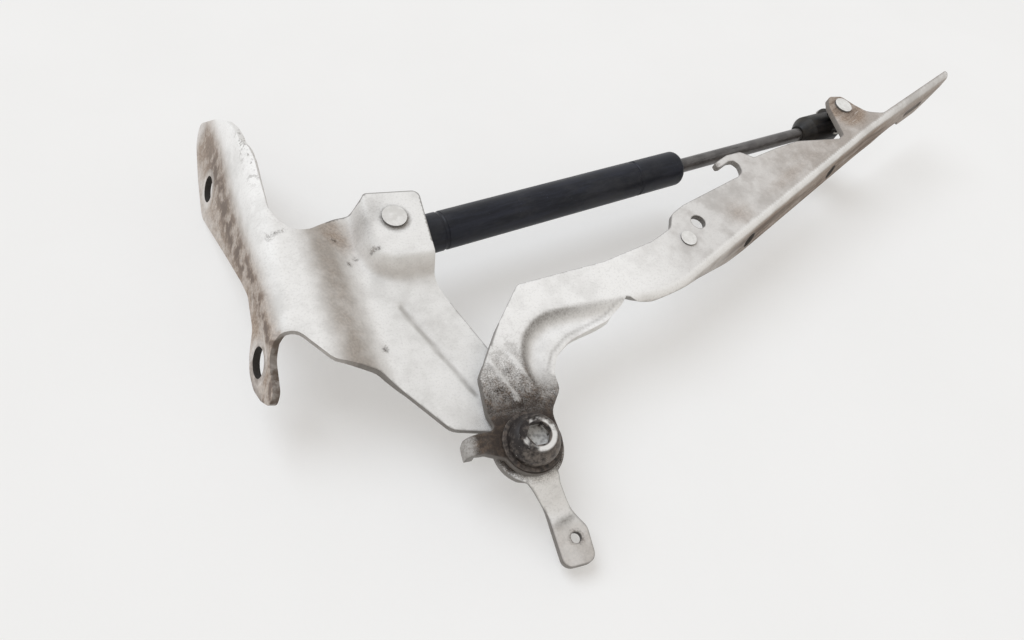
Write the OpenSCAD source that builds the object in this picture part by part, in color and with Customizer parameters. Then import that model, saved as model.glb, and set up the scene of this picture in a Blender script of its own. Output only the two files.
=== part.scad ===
// Car bonnet hinge with a gas strut, shown fully open.
// Millimetres. The Z axis is the pivot axis, the origin lies on the top face of the bracket web at the pivot,
// and the body flange runs along Y on the left.

/* [Body bracket] */
// Sheet thickness of the body bracket
bracket_t = 3; // [2.5:0.1:3.5]
// Height of the shelf beside the flange above the web
shelf_rise = 8; // [6:0.5:9]
// Height of the strut pad above the web
pad_rise = 10; // [8.5:0.5:12]
// Distance from the pivot to the start of the flange bend
flange_x = 83; // [80:1:88]
// Outer radius of the flange bend
flange_bend_r = 10; // [7:0.5:12]
// Lean of the body flange away from upright, degrees
flange_tilt = 20; // [14:1:24]
// Distance along the flange from the pivot line to the lower bolt hole
lower_hole_y = 58; // [55:1:61]
// Distance along the flange from the pivot line to the upper bolt hole
upper_hole_y = 170; // [165:1:175]
// Depth of the lower bolt hole below the bend
lower_hole_q = 12; // [10:0.5:14]
// Depth of the upper bolt hole below the bend
upper_hole_q = 43; // [40:1:46]
// Diameter of the body bolt holes
body_hole_d = 13; // [10:0.5:14]
// Radius of the bracket end around the pivot
bracket_end_r = 15; // [14:0.5:17]
// Width of the pressed groove in the web
groove_w = 4; // [3:0.5:6]
// Depth of the pressed groove in the web
groove_h = 1; // [0.5:0.1:1.2]
// Drop of the threaded tab below the web
tab_drop = 12; // [9:0.5:15]
// Bore of the threaded hole in the tab
tab_hole_d = 4.5; // [4:0.5:8]

/* [Bonnet arm] */
// Sheet thickness of the arm
arm_t = 3.2; // [3:0.1:3.6]
// Rise of the arm plate above its eyelet
arm_step = 2.9; // [2:0.1:2.9]
// Radius of the arm eyelet
eyelet_r = 13; // [12.5:0.5:14]
// Direction of the bonnet flange in plan, degrees
rail_angle = 27.1; // [26.1:0.5:28.1]
// Outer bend radius of the bonnet flange
rail_bend_r = 5; // [4:0.5:6]
// Lean of the bonnet flange away from upright, degrees
rail_tilt = 12; // [8:1:15]
// Length of the bonnet flange below its bend
rail_depth = 15; // [14:0.5:18]
// Diameter of the bonnet bolt holes
bonnet_hole_d = 9; // [7:0.5:10]
// Distance between the bonnet bolt holes
bonnet_hole_gap = 92; // [85:1:95]
// Diameter of the gauge hole in the plate
gauge_hole_d = 8; // [6:0.5:9]
// Head diameter of the arm stud
stud_head_d = 8.4; // [7:0.2:10]

/* [Pivot] */
// Shoulder diameter of the pivot bolt
shoulder_d = 10; // [8:0.5:11]
// Wall of the pivot bush
bush_wall = 1.5; // [1:0.1:2]
// Thickness of each pivot washer
washer_t = 1.5; // [1.2:0.1:2]
// Outside diameter of the pivot washers
washer_d = 25; // [22:0.5:26]
// Diameter of the pivot bolt head
head_d = 21.5; // [20:0.5:23]
// Height of the pivot bolt head
head_h = 8.5; // [7.5:0.5:10]
// Rim diameter around the hexagon socket
rim_d = 15; // [13.5:0.5:16]
// Width across flats of the hexagon socket
socket_af = 9; // [7:0.5:10]
// Thread diameter below the shoulder
thread_d = 8; // [6:0.5:8]
// Width across flats of the pivot nut
nut_af = 15; // [13:0.5:17]
// Height of the pivot nut
nut_h = 8; // [6:0.5:10]

/* [Gas strut] */
// Outside diameter of the strut tube
tube_d = 19; // [18:0.5:20]
// Wall of the strut tube
tube_wall = 1.2; // [0.8:0.1:1.6]
// Length of the strut tube
tube_len = 163; // [158:1:168]
// Diameter of the piston rod
rod_d = 8; // [6:0.5:9]
// Diameter of the ball on each ball stud
ball_d = 10; // [8:0.5:10.5]
// Head diameter of the ball studs
ball_head_d = 11; // [10:0.5:12]
// Shank diameter of the ball studs in the sheet
ball_shank_d = 8; // [6.5:0.5:8.5]
// Diameter of the ball sockets
cup_d = 19; // [18:0.5:20]
// Height of the ball sockets
cup_h = 14; // [13.5:0.5:15]
// Depth of the strut axis below the web face
strut_drop = 11; // [10:0.5:12.5]

/* [Fits] */
// Radial running fit of turning and sliding pairs
run_fit = 0.05; // [0.02:0.01:0.1]
// Radial fit of pieces set into the sheet or tube
set_fit = 0.05; // [0.02:0.01:0.1]
// Gap between a ball and its socket
ball_gap = 0.3; // [0.2:0.05:0.5]

/* [Hidden] */
$fn = 64;
round_fn = 32;

shelf_z = shelf_rise;
pad_z = pad_rise;
arm_low_z = washer_t;
arm_eye_z = arm_low_z + arm_t;
arm_z = arm_eye_z + arm_step;
strut_z = -strut_drop;

// Ball centres in plan, the strut line between them and its pose
ball_low = [-33, 109.5];
ball_up = [265, 171.5];
strut_vec = ball_up - ball_low;
strut_len = norm(strut_vec);
strut_dir = atan2(strut_vec[1], strut_vec[0]);

// Stations along the strut, measured from the lower ball
tube_start = cup_d / 2 + 3;
tube_end = tube_start + tube_len;
guide_len = 15;
guide_end = tube_end - 3;
guide_start = guide_end - guide_len;
seal_len = 5;
seal_start = guide_start - seal_len - 0.3;
piston_len = 10;
piston_end = seal_start - 6;
piston_start = piston_end - piston_len;
plug_len = 8;
cup_neck = 26;
tube_in_r = tube_d / 2 - tube_wall;

// Flange line of the arm: a point on it, its curved lead-in, and the station where the tongue turns away
rail_point = [101.6, 66.9];
rail_lead_r = 60;
rail_lead_turn = 22;
rail_lead_len = 20;
rail_end = 310;
rail_stop = 208;
hair = 0.02;
tongue_s = 196;
tongue_turn = 2.5;
bonnet_hole_s = 60;
bonnet_hole_q = 8;
rail_in_r = rail_bend_r - arm_t;
tongue_slot_w = 4;
arm_stud_at = [111, 85.5];
gauge_hole_at = [121.3, 95];
shank_hole_d = ball_shank_d + 2 * set_fit;
stud_shank_d = 6;
bush_out_r = shoulder_d / 2 + run_fit + bush_wall;
tab_hole_at = [13, -37];

// Number of flats in each bend of a sheet
bend_flats = 8;
// Number of straight runs in the curve of the arm's flange
lead_flats = 3;

function polar(r, a) = [r * cos(a), r * sin(a)];

// Points of a bend in the sheet, as flats between two angles
function bend(r, from, to, at = [0, 0]) =
    [for (i = [0 : bend_flats]) at + polar(r, from + (to - from) * i / bend_flats)];

// Rounds the corners of a flat outline, convex ones by out_r and hollow ones by in_r
module rounded(out_r, in_r) {
    offset(r = out_r, $fn = round_fn) offset(delta = -out_r - in_r)
        offset(r = in_r, $fn = round_fn) children();
}

// Turns a flat profile drawn as [x, height] so that it stands upright and runs along Y
module along_y(from, to) {
    translate([0, to, 0]) rotate([90, 0, 0]) linear_extrude(to - from) children();
}

// Carries its children from the strut's own line, along X from the lower ball, to its place
module on_strut() {
    translate([ball_low[0], ball_low[1], strut_z]) rotate([0, 0, strut_dir]) children();
}

// A round bar on the strut's line between two stations
module strut_bar(d, from, to) {
    translate([from, 0, 0]) rotate([0, 90, 0]) cylinder(d = d, h = to - from);
}

// Places a flat outline drawn as [along, depth] on the outer face of the body flange
module on_flange() {
    bend_z = shelf_z - flange_bend_r;
    turn = 180 - flange_tilt;
    face = polar(flange_bend_r, turn);
    s = sin(flange_tilt);
    c = cos(flange_tilt);
    multmatrix([
        [0, -s, -c, face[0] - flange_x],
        [1, 0, 0, 0],
        [0, -c, s, bend_z + face[1]],
        [0, 0, 0, 1]
    ]) children();
}

// Sheet section of the shelf, the flange bend and the flange
module flange_section() {
    at = [-flange_x, shelf_z - flange_bend_r];
    in_r = flange_bend_r - bracket_t;
    turn = 180 - flange_tilt;
    down = polar(62, turn + 90);
    polygon(concat(
        [at + [20, in_r - hair], at + [20, flange_bend_r + hair], at + [0, flange_bend_r + hair]],
        bend(flange_bend_r, 90, turn, at),
        [at + polar(flange_bend_r, turn) + down, at + polar(in_r, turn) + down],
        bend(in_r, turn, 90, at), [at + [0, in_r - hair]]
    ));
}

// Sheet section from the shelf through the joggle to the web
module web_section(run) {
    turn = 2 * atan2(shelf_rise, run);
    mid_r = run / (2 * sin(turn));
    outer_r = mid_r + bracket_t / 2;
    inner_r = mid_r - bracket_t / 2;
    crest = [0, shelf_rise - bracket_t / 2 - mid_r];
    foot = [run, mid_r - bracket_t / 2];
    polygon(concat(
        [[-12, shelf_z - bracket_t], [-12, shelf_z]], bend(outer_r, 90, 90 - turn, crest),
        bend(inner_r, 270 - turn, 270, foot), [[run + 100, 0], [run + 100, -bracket_t]],
        bend(outer_r, 270, 270 - turn, foot), bend(inner_r, 90 - turn, 90, crest)
    ));
}

// Plan outline of the shelf, the web and the pad
module bracket_outline() {
    rounded(3, 6) polygon([
        [-97, 61], [-81, 61], [-69, 46.5], [-52, 41.5], [-29, 12.5], [-12, 8.5], [0, 0], [10.5, 10.5],
        [-17, 73], [-19, 79.5], [-19, 123.5], [-44, 123.5], [-57, 117], [-70, 107], [-80, 110],
        [-84.5, 120], [-86, 136], [-91, 148], [-97, 148]
    ]);
    circle(r = bracket_end_r);
}

// Outline of the body flange on its own face, with one lobe around each bolt hole
module flange_outline() {
    low = [lower_hole_y, lower_hole_q];
    high = [upper_hole_y, upper_hole_q];
    rounded(5, 7) polygon([
        low + [8, 8], low + [0, 12], low + [-9, 12], low + [-17, 4], low + [-22, -5], low + [-19, -11],
        low + [-4, -11], low + [1, -16], low + [4, -25], [115, -13], [144, -8.4], [155, -7], high + [-6, -45],
        high + [5, -40.4], high + [14, -34.4], high + [26, -22], high + [43, 0], high + [38, 9], high + [16, 13],
        high + [-7, 14], high + [-47, -11], [100, 18], [90, 13], [74, 13]
    ]);
}

// Raised pad over the lower ball stud, as a solid block with sloping walls
module pad_block(inset, drop) {
    foot = [[-51, 98], [-46, 88], [-36, 83], [-10, 85], [-10, 140], [-51, 140]];
    top = [[-46, 99], [-42, 92], [-36, 89.5], [-10, 91], [-10, 140], [-43, 140]];
    hull() {
        translate([0, 0, -bracket_t - drop]) linear_extrude(bracket_t - 0.4)
            offset(delta = -inset) polygon(foot);
        translate([0, 0, pad_z - drop - 1]) linear_extrude(1) offset(delta = -inset) polygon(top);
    }
}

// Web, joggle and pad, cut from the sheet
module bracket_pressing() {
    pad_wall = 0.75 * bracket_t;
    joggle_at = [-66, 60];
    joggle_lean = 5;
    along_y(20, 215) flange_section();
    difference() {
        union() {
            translate(joggle_at) rotate([0, 0, joggle_lean]) along_y(-90, 90) web_section(18);
            pad_block(0, 0);
        }
        pad_block(pad_wall, bracket_t);
    }
}

// Joggled tab with its threaded hole
module bracket_tab() {
    fold_y = -bracket_end_r + 1;
    run = tab_drop;
    end_y = -49;
    intersection() {
        rotate([90, 0, 90]) linear_extrude(80, center = true) polygon([
            [0, 0], [fold_y, 0], [fold_y - run, -tab_drop], [end_y, -tab_drop],
            [end_y, -tab_drop - bracket_t], [fold_y - run - 1.2, -tab_drop - bracket_t],
            [fold_y - 1.2, -bracket_t], [0, -bracket_t]
        ]);
        translate([0, 0, -40]) linear_extrude(60) rounded(3.5, 3) polygon([
            [-8, 0], [-4, -14], [4, -26], [4.5, -48], [18.5, -48], [19, -34], [9, -16], [7, 0]
        ]);
    }
}

// Bar that presses the groove into a face of the web, from the pad towards the pivot
module groove_bar(z) {
    r = (groove_w * groove_w / 4 + groove_h * groove_h) / (2 * groove_h);
    translate([-37, 71, z - groove_h + r]) rotate([0, 0, -63.5]) rotate([0, 90, 0]) cylinder(r = r, h = 52);
}

module body_bracket() color([0.86, 0.86, 0.84]) difference() {
    union() {
        intersection() {
            bracket_pressing();
            union() {
                translate([0, 0, -30]) linear_extrude(60) bracket_outline();
                intersection() {
                    on_flange() translate([0, 0, -25]) linear_extrude(32) flange_outline();
                    translate([-flange_x - 149.5, 0, -100]) cube([150, 300, 200]);
                }
            }
        }
        bracket_tab();
        intersection() {
            groove_bar(-bracket_t);
            translate([0, 0, -bracket_t - 2 * groove_h]) linear_extrude(2 * groove_h) bracket_outline();
        }
    }
    groove_bar(0);
    cylinder(d = thread_d + 2 * set_fit, h = 20, center = true);
    translate([ball_low[0], ball_low[1], 0]) cylinder(d = shank_hole_d, h = 3 * pad_z);
    translate([tab_hole_at[0], tab_hole_at[1], -tab_drop - bracket_t - 1])
        cylinder(d = tab_hole_d, h = bracket_t + 2);
    on_flange() {
        translate([lower_hole_y, lower_hole_q, -10]) cylinder(d = body_hole_d, h = 20);
        translate([upper_hole_y, upper_hole_q, -10]) cylinder(d = body_hole_d, h = 20);
    }
}

// Places its children at a point on the arm's flange line, X along the flange and -Y outwards
module on_rail() {
    translate([rail_point[0], rail_point[1], 0]) rotate([0, 0, rail_angle]) children();
}

// Sheet section of the plate edge, the bend and the bonnet flange, as [outwards, height]. Its faces stand
// out from the plate's by a few hairs, so that no two faces lie in one plane.
function rail_section(flat, hairs) =
    let (
        at = [0, arm_z - rail_bend_r],
        outer_r = rail_bend_r + hairs * hair,
        inner_r = rail_in_r - hairs * hair,
        down = polar(rail_depth, rail_tilt - 90)
    )
    concat(
        [at + [-flat, inner_r], at + [-flat, outer_r]], bend(outer_r, 90, rail_tilt, at),
        [at + polar(outer_r, rail_tilt) + down, at + polar(inner_r, rail_tilt) + down],
        bend(inner_r, rail_tilt, 90, at)
    );

// One straight run of the sheet section, from a point on the flange line
module rail_run(from, heading, run, hairs, flat = 6) {
    lap = 0.4;
    translate([from[0], from[1], 0]) rotate([0, 0, heading]) translate([-lap, 0, 0])
        rotate([90, 0, 90]) linear_extrude(run + lap) mirror([1, 0]) polygon(rail_section(flat, hairs));
}

// Point of the lead-in's curve at an angle from its start
function rail_turn_at(a) = [0, rail_lead_r] + polar(rail_lead_r, a - rail_lead_turn - 90);

// Lead-in, its curve in short straight runs, and the straight run of the flange
module rail_runs() {
    step = rail_lead_turn / lead_flats;
    side = 2 * rail_lead_r * sin(step / 2) + 0.4;
    lead_from = rail_turn_at(0) - polar(rail_lead_len, -rail_lead_turn);
    rail_run(lead_from, -rail_lead_turn, rail_lead_len + 0.4, 1);
    for (i = [0 : lead_flats - 1])
        rail_run(rail_turn_at(i * step), (i + 0.5) * step - rail_lead_turn, side, 2 + i % 2);
    rail_run([0, 0], 0, rail_stop, 1);
}

// Side outline of the bonnet flange and its lead-in, drawn as [station, height]
module rail_outline() {
    low = arm_z - rail_bend_r - rail_depth;
    polygon([
        [-60, 20], [-60, arm_z - 4.5], [-30, arm_z - 4.8], [8, arm_z - 6.5], [40, low + 3], [50, low + 0.6],
        [58, low], [rail_stop, low], [rail_stop, 20]
    ]);
}

// Side outline of the tongue, drawn as [station, height]
module tongue_outline() {
    low = arm_z - rail_bend_r - rail_depth;
    polygon([
        [tongue_s - 4, 20], [tongue_s - 4, low], [rail_stop + 6, low + 2], [rail_stop + 15, low + 4],
        [rail_stop + 28, low + 5.2], [rail_stop + 39, low + 5.2], [rail_stop + 41, low + 1],
        [rail_stop + 67, low + 1.2], [rail_end - 26, low + 4], [rail_end - 17, low + 7],
        [rail_end - 5, low + 11.8], [rail_end, low + 15.5], [rail_end, 20]
    ]);
}

// Carries its children from the flange's line to the tongue's line
module on_tongue() {
    on_rail() translate([tongue_s, 0, 0]) rotate([0, 0, -tongue_turn])
        translate([-tongue_s, 0, 0]) children();
}

// Flange of the arm: the lead-in, the straight run, and the tongue that turns outwards
module arm_rail() {
    intersection() {
        on_rail() rail_runs();
        on_rail() rotate([90, 0, 0]) linear_extrude(120, center = true) rail_outline();
    }
    on_tongue() intersection() {
        rail_run([tongue_s, 0], 0, rail_end - tongue_s, 2, 0.6);
        rotate([90, 0, 0]) linear_extrude(80, center = true) tongue_outline();
    }
}

// Plan outline of the arm's raised plate
module plate_outline() {
    rounded(2.5, 4) polygon([
        [-15, 20], [-15, 30], [-2, 50], [14, 70.5], [60, 77.5], [90, 86], [104, 93], [108, 101], [117, 106],
        [160, 122], [166, 126], [165, 133], [172, 138], [176, 134.5], [196, 140.5], [214, 145], [249, 145.5],
        rail_point + polar(163, rail_angle), rail_point + polar(3, rail_angle + 90), [81, 61], [62, 59],
        [24, 56.5], [12, 50], [6, 42], [5, 30], [9, 18]
    ]);
}

// Plan outline of the arm's lower level: the eyelet, the neck and the pressed lip
module eyelet_outline() {
    circle(r = eyelet_r);
    rounded(2, 5) polygon([
        [-eyelet_r, 0], [-15, 14], [-15, 27], [2, 36], [9, 48], [22, 60], [66, 60.5], [63, 55], [53, 49],
        [31, 41.5], [22, 35], [19, 27], [19, 21], [12, 11], [eyelet_r, 0]
    ]);
}

// Plan outline of the ear over the upper ball stud
module ear_outline() {
    base = rail_point + polar(172, rail_angle);
    base_end = rail_point + polar(216, rail_angle);
    rounded(3, 5) polygon([
        base, ball_up + [-11, 0], ball_up + [-7, 8], ball_up + [4, 8], ball_up + [10, 1],
        base_end + [-12, 2], base_end + polar(2, rail_angle + 90), base_end
    ]);
    translate(rail_point) rotate(rail_angle) translate([rail_stop - 1, -2.5]) square([8, 4]);
}

// Hook tab on the upper edge of the plate
module hook_outline() {
    polygon([
        [160, 122], [164, 125], [164.5, 130], [162, 132.8], [158.5, 132.6], [150, 128.2], [148.4, 131.4],
        [159, 136.8], [169, 138.6], [174.5, 135], [176, 130], [168, 122]
    ]);
}

// Stop tab on the eyelet, bent down below the edge of the bracket web
module stop_tab() {
    translate([0, 0, arm_low_z]) linear_extrude(arm_t) rounded(1, 2)
        polygon([[-8, 8], [-20, 7.5], [-27, 5.5], [-27, -0.5], [-20, -1], [-9, -5]]);
    translate([-27, -0.5, -bracket_t - 1]) cube([arm_t, 6, bracket_t + 1 + arm_low_z + arm_t / 2]);
}

module bonnet_arm() color([0.78, 0.78, 0.77]) difference() {
    union() {
        translate([0, 0, arm_low_z]) linear_extrude(arm_t) eyelet_outline();
        translate([0, 0, arm_z - arm_t]) linear_extrude(arm_t) {
            plate_outline();
            hook_outline();
            ear_outline();
        }
        arm_rail();
        stop_tab();
    }
    cylinder(r = bush_out_r + set_fit, h = 40, center = true);
    translate([ball_up[0], ball_up[1], 0]) cylinder(d = shank_hole_d, h = 40);
    translate([arm_stud_at[0], arm_stud_at[1], 0]) cylinder(d = stud_shank_d + 2 * set_fit, h = 40);
    translate([gauge_hole_at[0], gauge_hole_at[1], 0]) cylinder(d = gauge_hole_d, h = 40);
    on_rail() for (s = [bonnet_hole_s, bonnet_hole_s + bonnet_hole_gap])
        translate([s, 0, arm_z - rail_bend_r]) rotate([90 - rail_tilt, 0, 0])
            translate([0, -bonnet_hole_q, -15]) cylinder(d = bonnet_hole_d, h = 40);
    // Locating slot in the tongue
    on_tongue() translate([266, 0, arm_z - rail_bend_r - 7]) rotate([90 - rail_tilt, 0, 0])
        translate([0, 0, -15]) {
            translate([-11, 0, 0]) cylinder(d = tongue_slot_w, h = 40);
            translate([11, 0, 0]) cylinder(d = tongue_slot_w, h = 40);
            translate([-11, -tongue_slot_w / 2, 0]) cube([22, tongue_slot_w, 40]);
        }
}

// Turned profile of a ball stud, from its flat head down to the ball
module ball_stud(top_z) {
    head_t = 1.2;
    collar_z = top_z - bracket_t_at(top_z);
    translate([0, 0, top_z]) cylinder(d = ball_head_d, h = head_t);
    translate([0, 0, collar_z - 1]) cylinder(d = ball_shank_d, h = top_z - collar_z + 1.5);
    translate([0, 0, collar_z - 3]) cylinder(d = ball_head_d + 1, h = 3);
    translate([0, 0, strut_z]) cylinder(d = 0.62 * ball_d, h = collar_z - strut_z - 2);
    translate([0, 0, strut_z]) sphere(d = ball_d);
}

function bracket_t_at(top_z) = top_z == pad_z ? bracket_t : arm_t;

module lower_ball_stud() color([0.72, 0.72, 0.71]) translate([ball_low[0], ball_low[1], 0]) ball_stud(pad_z);

module upper_ball_stud() color([0.72, 0.72, 0.71]) translate([ball_up[0], ball_up[1], 0]) ball_stud(arm_z);

module arm_stud() color([0.75, 0.75, 0.74]) translate([arm_stud_at[0], arm_stud_at[1], 0]) {
    translate([0, 0, arm_z]) cylinder(d = stud_head_d, h = 0.8);
    translate([0, 0, arm_z - arm_t - 1]) cylinder(d = stud_shank_d, h = arm_t + 1.5);
    translate([0, 0, arm_z - arm_t - 2.5]) cylinder(d = stud_head_d + 1, h = 2.5);
}

module pivot_bolt() color([0.3, 0.29, 0.27]) {
    seat_z = arm_eye_z + washer_t;
    difference() {
        union() {
            translate([0, 0, seat_z]) rotate_extrude() intersection() {
                square([head_d / 2, head_h]);
                union() {
                    translate([0, 2]) scale([1, 0.62]) circle(d = head_d);
                    square([rim_d / 2, head_h]);
                    square([head_d / 2, 2]);
                }
            }
            cylinder(d = shoulder_d, h = seat_z + 1);
            translate([0, 0, -bracket_t - nut_h - 2]) cylinder(d = thread_d, h = bracket_t + nut_h + 3);
        }
        translate([0, 0, seat_z + head_h - 5]) cylinder(d = socket_af / cos(30), h = 10, $fn = 6);
    }
}

module pivot_nut() color([0.4, 0.38, 0.35]) translate([0, 0, -bracket_t - nut_h]) difference() {
    cylinder(d = nut_af / cos(30), h = nut_h, $fn = 6);
    translate([0, 0, -1]) cylinder(d = thread_d + 2 * set_fit, h = nut_h + 2);
}

module pivot_bush() color([0.55, 0.45, 0.25]) translate([0, 0, arm_low_z]) difference() {
    cylinder(r = bush_out_r, h = arm_t);
    translate([0, 0, -1]) cylinder(d = shoulder_d + 2 * run_fit, h = arm_t + 2);
}

module pivot_washer(z) {
    translate([0, 0, z]) difference() {
        cylinder(d = washer_d, h = washer_t);
        translate([0, 0, -1]) cylinder(d = shoulder_d + 2 * set_fit, h = washer_t + 2);
    }
}

module lower_washer() color([0.45, 0.38, 0.28]) pivot_washer(0);

module upper_washer() color([0.45, 0.38, 0.28]) pivot_washer(arm_eye_z);

// Strut tube with a rolled groove at each end and a turned-in lip that holds the guide
module strut_tube() color([0.1, 0.1, 0.12]) on_strut() rotate([0, 90, 0]) rotate_extrude() difference() {
    intersection() {
        translate([0, tube_start]) square([tube_d / 2, tube_len]);
        rounded_end();
    }
    translate([-1, tube_start - 1]) square([tube_in_r + 1, guide_end - tube_start + 1.3]);
    translate([-1, guide_end]) square([rod_d / 2 + 2 * run_fit + 1.5, 10]);
    for (s = [tube_start + 14, tube_end - 31]) translate([tube_d / 2 + 0.9, s]) circle(d = 3);
}

module rounded_end() {
    edge = 3;
    translate([0, tube_start]) square([tube_d / 2, tube_len - edge]);
    translate([0, tube_start]) square([tube_d / 2 - edge, tube_len]);
    translate([tube_d / 2 - edge, tube_end - edge]) circle(r = edge);
}

// Plug that closes the tube and carries the lower socket
module tube_plug() color([0.25, 0.25, 0.26]) on_strut() {
    strut_bar(2 * (tube_in_r - set_fit), tube_start + 0.3, tube_start + plug_len);
    strut_bar(rod_d, tube_start - 4, tube_start + 2);
}

// Lower ball socket, open on one side so that the ball can leave it
module lower_socket() color([0.08, 0.08, 0.09]) on_strut() difference() {
    union() {
        translate([0, 0, -cup_h / 2]) cylinder(d = cup_d, h = cup_h);
        strut_bar(cup_h, 0, tube_start);
    }
    leave_way();
    strut_bar(rod_d + 2 * set_fit, tube_start - 4.3, tube_start + 1);
}

// Space that the ball and its neck take while they leave and enter the lower socket
module leave_way() {
    way_angle = 74;
    way_len = 20;
    way_side = 0.8;
    r = ball_d / 2 + ball_gap;
    rotate([0, 0, way_angle]) translate([0, 0, -r]) {
        cylinder(r = r, h = cup_h + r);
        translate([0, -r - way_side, 0]) cube([way_len, 2 * (r + way_side), cup_h + r]);
    }
}

module piston_rod() color([0.35, 0.34, 0.33]) on_strut()
    strut_bar(rod_d, piston_start, strut_len - cup_neck + 12);

module piston() color([0.5, 0.5, 0.5]) on_strut() rotate([0, 90, 0]) difference() {
    translate([0, 0, piston_start]) cylinder(r = tube_in_r - 2 * run_fit, h = piston_len);
    translate([0, 0, piston_start - 1]) cylinder(d = rod_d + 2 * set_fit, h = piston_len + 2);
    translate([0, 0, piston_start + 4]) difference() {
        cylinder(r = tube_d, h = 2.4);
        translate([0, 0, -1]) cylinder(r = tube_in_r - 2, h = 5);
    }
}

module piston_ring() color([0.15, 0.15, 0.15]) on_strut() rotate([0, 90, 0]) difference() {
    translate([0, 0, piston_start + 4.1]) cylinder(r = tube_in_r - run_fit, h = 2.2);
    translate([0, 0, piston_start + 3]) cylinder(r = tube_in_r - 2 + set_fit, h = 5);
}

module rod_guide() color([0.6, 0.58, 0.5]) on_strut() rotate([0, 90, 0]) difference() {
    translate([0, 0, guide_start]) cylinder(r = tube_in_r - set_fit, h = guide_len);
    translate([0, 0, guide_start - 1]) cylinder(d = rod_d + 2 * run_fit, h = guide_len + 2);
}

module rod_seal() color([0.12, 0.12, 0.12]) on_strut() rotate([0, 90, 0]) difference() {
    translate([0, 0, seal_start + 0.3]) cylinder(r = tube_in_r - set_fit, h = seal_len);
    translate([0, 0, seal_start - 1]) cylinder(d = rod_d + 2 * run_fit, h = seal_len + 2);
}

// Wire ring that holds the seal in the tube
module guide_clip() color([0.5, 0.5, 0.5]) on_strut() rotate([0, 90, 0]) difference() {
    translate([0, 0, seal_start - 1.2]) cylinder(r = tube_in_r - set_fit, h = 1.5);
    translate([0, 0, seal_start - 3]) cylinder(r = tube_in_r - 1.5, h = 5);
}

// Upper ball socket with its tapered neck
module upper_socket() color([0.08, 0.08, 0.09]) on_strut() difference() {
    union() {
        translate([strut_len, 0, -cup_h / 2]) cylinder(d = cup_d, h = cup_h);
        translate([strut_len - cup_neck, 0, 0]) rotate([0, 90, 0])
            cylinder(d1 = rod_d + 2.4, d2 = cup_d + 0.5, h = 7);
        strut_bar(cup_d + 0.5, strut_len - cup_neck + 6.9, strut_len);
    }
    strut_bar(rod_d + 2 * set_fit, strut_len - cup_neck - 1, strut_len - cup_neck + 12.3);
    translate([strut_len, 0, 0]) {
        sphere(d = ball_d + 2 * ball_gap);
        cylinder(d = ball_d - 1, h = cup_h);
        translate([0, 0, cup_h / 2 - 1.5]) cylinder(d1 = ball_d - 1, d2 = ball_d + 3, h = 2);
        clip_groove();
    }
}

// Groove around the upper socket for its spring clip
module clip_groove() {
    translate([0, 0, 0.4 * cup_h - 1.4]) difference() {
        cylinder(d = cup_d + 5, h = 1.8);
        translate([0, 0, -1]) cylinder(d = cup_d - 1.6, h = 4);
        translate([-cup_d - 4, -cup_d, -1]) cube([cup_d, 2 * cup_d, 4]);
    }
}

// Spring clip around the upper socket
module socket_clip() color([0.55, 0.55, 0.56]) on_strut()
    translate([strut_len, 0, 0.4 * cup_h - 1.2]) difference() {
        cylinder(d = cup_d + 1, h = 1.4);
        translate([0, 0, -1]) cylinder(d = cup_d - 1.6 + 2 * set_fit, h = 4);
        translate([-cup_d - 3.8, -cup_d, -1]) cube([cup_d, 2 * cup_d, 4]);
    }

body_bracket();
bonnet_arm();
pivot_bolt();
pivot_nut();
pivot_bush();
lower_washer();
upper_washer();
lower_ball_stud();
upper_ball_stud();
arm_stud();
strut_tube();
tube_plug();
lower_socket();
piston_rod();
piston();
piston_ring();
rod_guide();
rod_seal();
guide_clip();
upper_socket();
socket_clip();
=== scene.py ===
import math

import bpy
import numpy as np
from mathutils import Matrix, Vector
from mathutils.geometry import delaunay_2d_cdt


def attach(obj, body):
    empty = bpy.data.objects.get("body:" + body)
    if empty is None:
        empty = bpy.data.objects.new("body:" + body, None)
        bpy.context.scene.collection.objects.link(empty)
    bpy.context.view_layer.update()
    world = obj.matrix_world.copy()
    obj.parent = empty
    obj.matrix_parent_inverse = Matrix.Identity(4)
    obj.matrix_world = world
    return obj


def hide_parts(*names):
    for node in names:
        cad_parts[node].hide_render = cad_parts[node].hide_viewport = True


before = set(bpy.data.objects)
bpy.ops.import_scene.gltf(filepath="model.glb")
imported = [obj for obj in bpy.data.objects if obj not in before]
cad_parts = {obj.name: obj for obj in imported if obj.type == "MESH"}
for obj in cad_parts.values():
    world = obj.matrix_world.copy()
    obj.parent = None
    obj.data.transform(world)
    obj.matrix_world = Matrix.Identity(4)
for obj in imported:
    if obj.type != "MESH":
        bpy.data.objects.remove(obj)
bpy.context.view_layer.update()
MM = 0.001

# Sheets, in millimetres: thickness, width of the triangles that fill them, and bevel of their cut edges
BRACKET_THICK, ARM_THICK = 3.0, 3.2
STEP, EDGE_BREAK, EDGE_TURN = 1.3, 0.45, math.radians(52)
# Rows of triangles lie ROW steps apart, and inner points keep CLEAR steps away from an outline
ROW, CLEAR = 0.866, 0.65
# Outline points nearer than CLOSEST are dropped, and triangles whose doubled area is under SLIVER
CLOSEST, SLIVER = 0.25, 0.01
# Corners with a half angle over STRAIGHT stay as they are, and an arc takes REACH of a side at most, by ARC_STEP
STRAIGHT, REACH, ARC_STEP = 1.54, 0.48, 0.22


# Small helpers for flat shapes, all in millimetres

def ss(v, a, b):
    """Smooth step from 0 at a to 1 at b."""
    t = np.clip((np.asarray(v, float) - a) / (b - a), 0, 1)
    return t * t * (3 - 2 * t)


def bell(v, middle, width):
    """A soft peak, 1 at its middle."""
    return np.exp(-(((v - middle) / width) ** 2))


def polar(r, deg):
    return np.array([r * math.cos(math.radians(deg)), r * math.sin(math.radians(deg))])


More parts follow.
